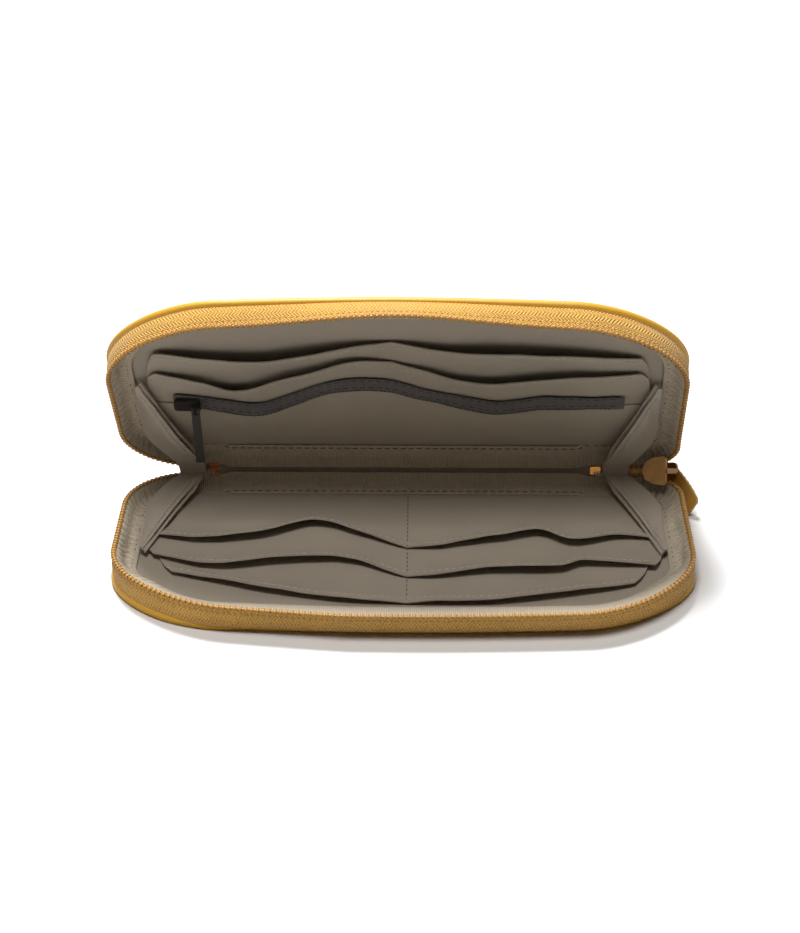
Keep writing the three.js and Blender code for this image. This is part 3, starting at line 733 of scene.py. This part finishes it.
def pocket_rise(u, v, upper):
    """How far the filled-out cloth stands over the flat, the same for every sheet of a half."""
    swell = column_swell(u, UPPER_SEAM if upper else LOWER_SEAM, 97)
    body = clamped((v - 10) / 25)
    folds = noise.noise(Vector((u / 21, v / 13, 7 if upper else 1)))
    fine = noise.noise(Vector((u / 8, v / 7, 9 if upper else 2)))
    return swell ** 0.7 * body * 0.9 + (0.7 * folds + 0.22 * fine) * body * min(swell * 3, 1)


def pocket_sheet(name, node, marks, back, half_width, level, open_by, upper, round_by=4.0):
    """A pocket sheet from its back seam to its waving hem, with the hem's fold and its stitches.
    marks are places on the hem, level its place in the stack and open_by how far it stands open."""
    middle = UPPER_SEAM if upper else LOWER_SEAM
    body = "upper_half" if upper else "lower_half"

    def edge_at(u):
        return through(marks, u)

    def height_at(u, v):
        near = clamped(1 - (edge_at(u) - v) / 14)
        lift = open_by * near ** 2 * column_swell(u, middle, half_width) ** 0.8
        fold = HEM_STEP if edge_at(u) - v < HEM_DEPTH else 0.0
        return SHEET_BASE + SHEET_STEP * level + pocket_rise(u, v, upper) + lift + fold

    def sheet_point(a, b):
        side = half_width - round_by * b ** 8
        u = (2 * a - 1) * side
        v = back + (edge_at(u) - back) * b
        return on_half(u, v, height_at(u, v), upper)

    width = 2 * half_width
    length = edge_at(0) - back
    rows = max(int(length / 1.4), 12)
    sheet = bent_grid(name, 150, rows, sheet_point, width, length)
    give_thickness(sheet, 0.45)
    finish_piece(sheet, taupe_cloth, body, 60)
    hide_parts(node)

    def hem_seam(t, rise):
        u = t - half_width
        v = edge_at(u) - 2.6
        return on_half(u, v, height_at(u, v) + 0.28 + rise, upper)

    sewn_row(
        name + "_stitches", hem_seam, width - 8, pocket_thread, body,
        pitch=2.6, size=(1.9, 0.5, 0.4), start=4.0,
    )


pocket_thread = thread_material("light taupe thread", (0.5, 0.44, 0.35))
ROW_1 = (
    (-91, 68), (-81, 72), (-65, 78), (-50, 83), (-22, 88), (2, 89), (35, 89), (71, 82),
    (88, 76), (91, 74),
)
ROW_2 = (
    (-97, 56), (-92, 58), (-73, 69), (-48, 66), (-23, 63), (2, 72), (35, 71.5), (57, 70),
    (66, 66), (97, 66),
)
ROW_3 = (
    (-97, 42), (-76, 50), (-54, 47), (-32, 38), (2, 52), (35, 49.5), (50, 45), (63, 51.5),
    (80, 46), (97, 45),
)
pocket_sheet("lower_front_pocket", "lower_pocket_row_1", ROW_1, POCKET_BACK, 91, 0, 1.8, False, 7)
pocket_sheet("lower_middle_pocket", "lower_pocket_row_2", ROW_2, POCKET_BACK, 96, 1, 3.6, False)
pocket_sheet("lower_back_pocket", "lower_pocket_row_3", ROW_3, POCKET_BACK, 97, 2, 3.6, False)


def lower_middle_seam(t, rise):
    v = 10 + t
    level = sum(v < through(marks, LOWER_SEAM) for marks in (ROW_2, ROW_3))
    height = SHEET_BASE + SHEET_STEP * level + pocket_rise(LOWER_SEAM, v, False)
    return on_half(LOWER_SEAM, v, height + 0.3 + rise, False)


sewn_row("lower_middle_stitches", lower_middle_seam, 78, dark_thread, "lower_half")


# Pockets of the upper half
# A rear sheet and a front sheet make two rows of pockets. Below the front one a dark zip
# closes the opening of a flat inner pocket, whose panel runs on to the spine.
ROW_A = (
    (-93, 74), (-86, 78), (-66, 76.5), (-48, 76), (-22, 81), (0, 82), (18, 80), (40, 81),
    (70, 79), (93, 74),
)
ROW_B = (
    (-93, 64), (-73, 61), (-60, 55.5), (-38, 66), (-16, 73), (2, 69), (28, 61.5), (50, 64),
    (72, 66), (93, 64),
)
ZIP_LINE = (
    (-90, 43), (-79, 43.5), (-66, 40), (-52, 38.5), (-38, 46), (-24, 54.5), (-6, 55), (11, 48),
    (35, 40), (54, 43), (66, 43), (90, 43),
)
pocket_sheet("upper_rear_pocket", "upper_pocket_rear", ROW_A, POCKET_BACK, 93, 0, 3.4, True)
pocket_sheet("upper_front_pocket", "upper_pocket_front", ROW_B, 33, 93, 1, 3.3, True)


def panel_point(a, b):
    u = (2 * a - 1) * 93
    v = POCKET_BACK + (through(ZIP_LINE, u) - 2.0 - POCKET_BACK) * b
    return on_half(u, v, 6.1 + pocket_rise(u, v, True) * (0.4 + 0.6 * b), True)


panel = bent_grid("zip_pocket_cloth", 150, 26, panel_point, 186, 34)
give_thickness(panel, 0.45)
finish_piece(panel, taupe_cloth, "upper_half", 60)
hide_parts("zip_pocket_panel")


# Inner pocket zip
# A narrow charcoal zip lies in the upper half in soft waves: its tape is sewn to the cloth
# on both sides, and its fine coil runs along the lower edge under a dark metal slider.
charcoal_tape = herringbone("charcoal zip tape", (0.09, 0.074, 0.066), 0.08, 0.15, 0.25)
charcoal_nylon = coil_nylon("charcoal nylon coil", (0.05, 0.042, 0.038))
charcoal_thread = thread_material("charcoal thread", (0.03, 0.025, 0.022))
ZIP_HALF = 84
COIL_DROP = 3.6


def zip_height(u, v):
    return 6.6 + pocket_rise(u, v, True)


def pocket_tape_point(a, b):
    u = (2 * a - 1) * ZIP_HALF
    v = through(ZIP_LINE, u) + (2 * b - 1) * 4.2
    return on_half(u, v, zip_height(u, v), True)


pocket_tape = bent_grid("charcoal_zip_tape", 140, 8, pocket_tape_point, 2 * ZIP_HALF, 8.4)
give_thickness(pocket_tape, 0.4)
finish_piece(pocket_tape, charcoal_tape, "upper_half", 60)
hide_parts("pocket_zip_tape")

loop = tooth_loop(0.6, 0.25, 0.4)
places = []
for i in range(104):
    u = -81 + i * 1.55
    v = through(ZIP_LINE, u) - COIL_DROP
    next_v = through(ZIP_LINE, u + 0.5) - COIL_DROP
    here = on_half(u, v, zip_height(u, v) + 0.1, True)
    ahead = on_half(u + 0.5, next_v, zip_height(u + 0.5, v) + 0.1, True)
    above = on_half(u, v, zip_height(u, v) + 1.1, True)
    places.append(stands_at(here, ahead, above, 16 if i % 2 else -16))
pocket_coil = repeated("charcoal_zip_coil", loop, places)
close_seams(pocket_coil)
finish_piece(pocket_coil, charcoal_nylon, "upper_half", 80)
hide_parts("pocket_zip_coil")

for side, name in ((-1.6, "pocket_zip_stitches_low"), (3.3, "pocket_zip_stitches_high")):

    def zip_seam(t, rise):
        u = t - ZIP_HALF
        v = through(ZIP_LINE, u) + side
        return on_half(u, v, zip_height(u, v) + 0.3 + rise, True)

    sewn_row(name, zip_seam, 166, charcoal_thread, "upper_half", start=1.0)

dark_metal, shader = speckled(
    "dark lacquered metal", (0.035, 0.03, 0.03), 0.32, 0.7, (500.0, 6.0), (0.6, 1.5), (0.12, 0.0001),
)
paint("pocket_slider", dark_metal)

dark_strip, shader = speckled(
    "dark moulded strip", (0.045, 0.038, 0.034), 0.55, 0.0, (800.0, 3.0), (0.7, 1.3), (0.2, 0.0001),
)
paint("pocket_pull", dark_strip)


# End gussets
# A doubled piece of the lining cloth closes each end like a fan. It is sewn to the ribbon of
# both halves, creased inwards at the fold, and its free front edge is hemmed and tacked.
gusset_cloth = woven_cloth("gusset cloth", (0.42, 0.36, 0.285))
GUSSET_BACK = 3.6
GUSSET_DEPTH = 52.4
CREASE_SEAM = 86.5
FRONT_SEAM = 97.4
CREASE_HEM = 76.4
FRONT_HEM = 95.9
HEM_FOLD = 0.72


def gusset_lines(side, part, upper):
    """The gusset's seam and hem at a share of the way from the crease to its front."""
    sweep = math.sin(min(1, part * 2.2) * math.pi / 2)
    seam_u = side * (CREASE_SEAM + (FRONT_SEAM - CREASE_SEAM) * sweep)
    seam_w = HALF_THICKNESS - 5.0 * min(1, part * 1.6)
    hem_u = side * (CREASE_HEM + (FRONT_HEM - CREASE_HEM) * part ** 0.8)
    hem_w = HALF_THICKNESS - 4.4 * part
    seam = on_half(seam_u, GUSSET_BACK + GUSSET_DEPTH * part * 0.97, seam_w, upper)
    hem = on_half(hem_u, GUSSET_BACK + GUSSET_DEPTH * part, hem_w, upper)
    return seam, hem


def over_cloth(upper):
    """A millimetre towards the open side of a half."""
    return on_half(0, 20, 7, upper) - on_half(0, 20, 6, upper)


def gusset_sheet(name, side, past, deeper):
    """One of a gusset's two layers. past is how far its hem runs out past the other layer's, and
    deeper is how far it lies under that layer, in millimetres."""

    def gusset_point(a, b):
        upper = a < 0.5
        part = abs(2 * a - 1)
        seam, hem = gusset_lines(side, part, upper)
        under = -over_cloth(upper)
        spread = min(part * 5, 1)
        hem = hem + (hem - seam).normalized() * past * 0.001 * spread + under * deeper * spread
        if b <= HEM_FOLD:
            share = b / HEM_FOLD
            sag = math.sin(math.pi * share) * 2.2 * math.sin(math.pi * min(part * 1.1, 1))
            ripple = 0.5 * noise.noise(Vector((part * 4, share * 2, 5 + side + upper)))
            return seam.lerp(hem, share) + under * (sag + ripple)
        fold = (b - HEM_FOLD) / 0.28
        inward = hem.lerp(seam, 0.3 * fold * fold)
        depth = math.sin(min(fold * 3, 1) * math.pi / 2)
        return inward + under * (0.7 * depth * spread)

    gusset = bent_grid(name, 96, 26, gusset_point, 115, 22)
    give_thickness(gusset, 0.35)
    finish_piece(gusset, gusset_cloth, None, 50)
    bend_at_fold(gusset)
    return gusset


for side, name in ((-1, "left"), (1, "right")):
    gusset = gusset_sheet(name + "_gusset_cloth", side, 0.0, 0.0)
    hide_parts(name + "_gusset")
    gusset_sheet(name + "_gusset_backing", side, 1.3, 1.3)

    def hem_seam(t, rise):
        upper = t < 58
        part = abs(t - 58) / 58
        seam, hem = gusset_lines(side, part, upper)
        share = min(2.2 / max((hem - seam).length * 1000, 3), 0.6)
        return hem.lerp(seam, share) + over_cloth(upper) * (0.1 + rise)

    hem_row = sewn_row(
        name + "_gusset_stitches", hem_seam, 112, pocket_thread, None,
        pitch=2.6, size=(1.8, 0.5, 0.4), start=2.0,
    )
    bend_at_fold(hem_row)

    def tack_seam(t, rise):
        seam, hem = gusset_lines(side, 0, False)
        turn = t * 2.4
        ring = Vector((0.0, math.cos(turn) * 0.9, math.sin(turn) * 1.3)) / 1000
        reach = Vector((side * (t * 0.42 - 3.2), -0.8 - rise, 0.0)) / 1000
        return hem + ring + reach

    tack = sewn_row(
        name + "_gusset_tack", tack_seam, 10, pocket_thread, None,
        pitch=0.62, size=(2.2, 0.5, 0.5),
    )
    bend_at_fold(tack)


# Main slider and pull
# The zip's slider is brown lacquered metal and sits at the closed end. A strap of tan coated
# cloth, sewn along its edge, hangs from the slider's bail as the pull.
lacquer, shader = speckled(
    "brown lacquer", (0.3, 0.13, 0.012), 0.36, 0.3, (260.0, 5.0), (0.6, 1.4), (0.12, 0.0001),
)
paint("main_slider", lacquer)
STRAP_LENGTH = 19
STRAP_BAR = Vector((101.705, 53.128, 12.433))
STRAP_RUN = Vector((0.586, -0.736, -0.338))
STRAP_ACROSS = Vector((0.5265, 0.0282, 0.8497))
STRAP_OUT = Vector((0.616, 0.676, -0.404))
STRAP_SAG = Vector((-0.9, -0.3, -1.0))


def strap_point(a, b):
    """The strap from its bar on the slider down along the wall: a runs along it, b round it."""
    run = STRAP_LENGTH * a
    angle = 2 * math.pi * b
    wide = 3.9 * math.copysign(min(abs(math.cos(angle)) * 1.5, 1), math.cos(angle))
    thick = 0.65 * math.copysign(min(abs(math.sin(angle)) * 1.6, 1), math.sin(angle))
    wide *= min(0.82 + a * 3, 1) * (1 - 0.25 * max(a - 0.93, 0) / 0.07)
    here = STRAP_BAR + STRAP_RUN * run + STRAP_ACROSS * wide + STRAP_OUT * thick
    return (here + STRAP_SAG * (2.2 * a * a)) / 1000


strap = bent_grid("strap_pull", 40, 24, strap_point, STRAP_LENGTH, 18)
close_seams(strap, fill=True)
finish_piece(strap, coated_cloth("tan strap cloth", (0.42, 0.22, 0.04)), "main_pull", 40)
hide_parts("main_pull")


def strap_seam(t, rise):
    a = min(0.12 + t / STRAP_LENGTH, 0.93)
    return strap_point(a, 0.09) + STRAP_OUT * rise / 1000


sewn_row(
    "strap_stitches", strap_seam, 15, yellow_thread, "main_pull",
    pitch=2.2, size=(1.6, 0.4, 0.3),
)


# Table
# The wallet lies on a plain white studio table. It is white to the camera and a little greyer to
# the light that it throws back, so that the wallet's shadow and its inside stay dark.
bpy.ops.object.select_all(action="DESELECT")
bpy.ops.mesh.primitive_plane_add(size=6.0, location=(0, 0, 0))
table = bpy.context.object
table.name = "studio_table"
white, tree, shader = start_material("studio white", (0.93, 0.93, 0.93), 0.9)
seen = add_node(tree, "LightPath").outputs["Is Camera Ray"]
tinted(tree, shader, (0.93, 0.93, 0.93), seen, 0.6, 1.0)
shader.inputs["Specular IOR Level"].default_value = 0.0
table.data.materials.append(white)


# Light
# A soft lamp above and behind gives the shadow in front, a weaker one above the front lights
# the opening, and the white room fills in a little.
def soft_lamp(name, place, size, power):
    """A square studio lamp that faces the wallet."""
    bpy.ops.object.light_add(type="AREA", location=place)
    lamp = bpy.context.object
    lamp.name = name
    lamp.data.size = size
    lamp.data.energy = power
    lamp.rotation_euler = (Vector((0, 0.03, 0.04)) - Vector(place)).to_track_quat("-Z", "Y").to_euler()


soft_lamp("key_lamp", (-0.2, 0.6, 1.45), 0.4, 34)
soft_lamp("front_lamp", (-0.1, -0.6, 1.5), 0.5, 13)

world = bpy.data.worlds.new("white room")
bpy.context.scene.world = world
world.use_nodes = True
tree = world.node_tree
for old in list(tree.nodes):
    tree.nodes.remove(old)
rays = add_node(tree, "LightPath")
seen = reckon(tree, "MAXIMUM", rays.outputs["Is Camera Ray"], rays.outputs["Is Glossy Ray"])
seen = reckon(tree, "MAXIMUM", seen, rays.outputs["Is Transmission Ray"])
room = add_node(tree, "Background", [("Color", (1, 1, 1, 1)), ("Strength", 0.04)])
backdrop = add_node(tree, "Background", [("Color", (1, 1, 1, 1)), ("Strength", 1.0)])
blend = add_node(tree, "MixShader", [(0, seen), (1, room.outputs[0]), (2, backdrop.outputs[0])])
end = tree.nodes.new("ShaderNodeOutputWorld")
tree.links.new(blend.outputs[0], end.inputs[0])


# Camera
# It looks down at the open wallet from the front, a little under 27 degrees above the table.
SIDEWAYS = math.radians(0.563)
LOOKS_DOWN = math.radians(26.711)
FROM_FOLD = Vector((-0.001727, -0.834, 0.4337))
bpy.ops.object.camera_add()
camera = bpy.context.object
camera.name = "studio_camera"
camera.location = Matrix.Rotation(SIDEWAYS, 3, "Z") @ FROM_FOLD + Vector((0, FOLD.y, 0))
camera.rotation_euler = (math.pi / 2 - LOOKS_DOWN, 0, SIDEWAYS)
camera.data.sensor_width = 36
camera.data.lens = 92.93
bpy.context.scene.camera = camera
bpy.context.scene.view_settings.view_transform = "Standard"

bpy.context.view_layer.update()
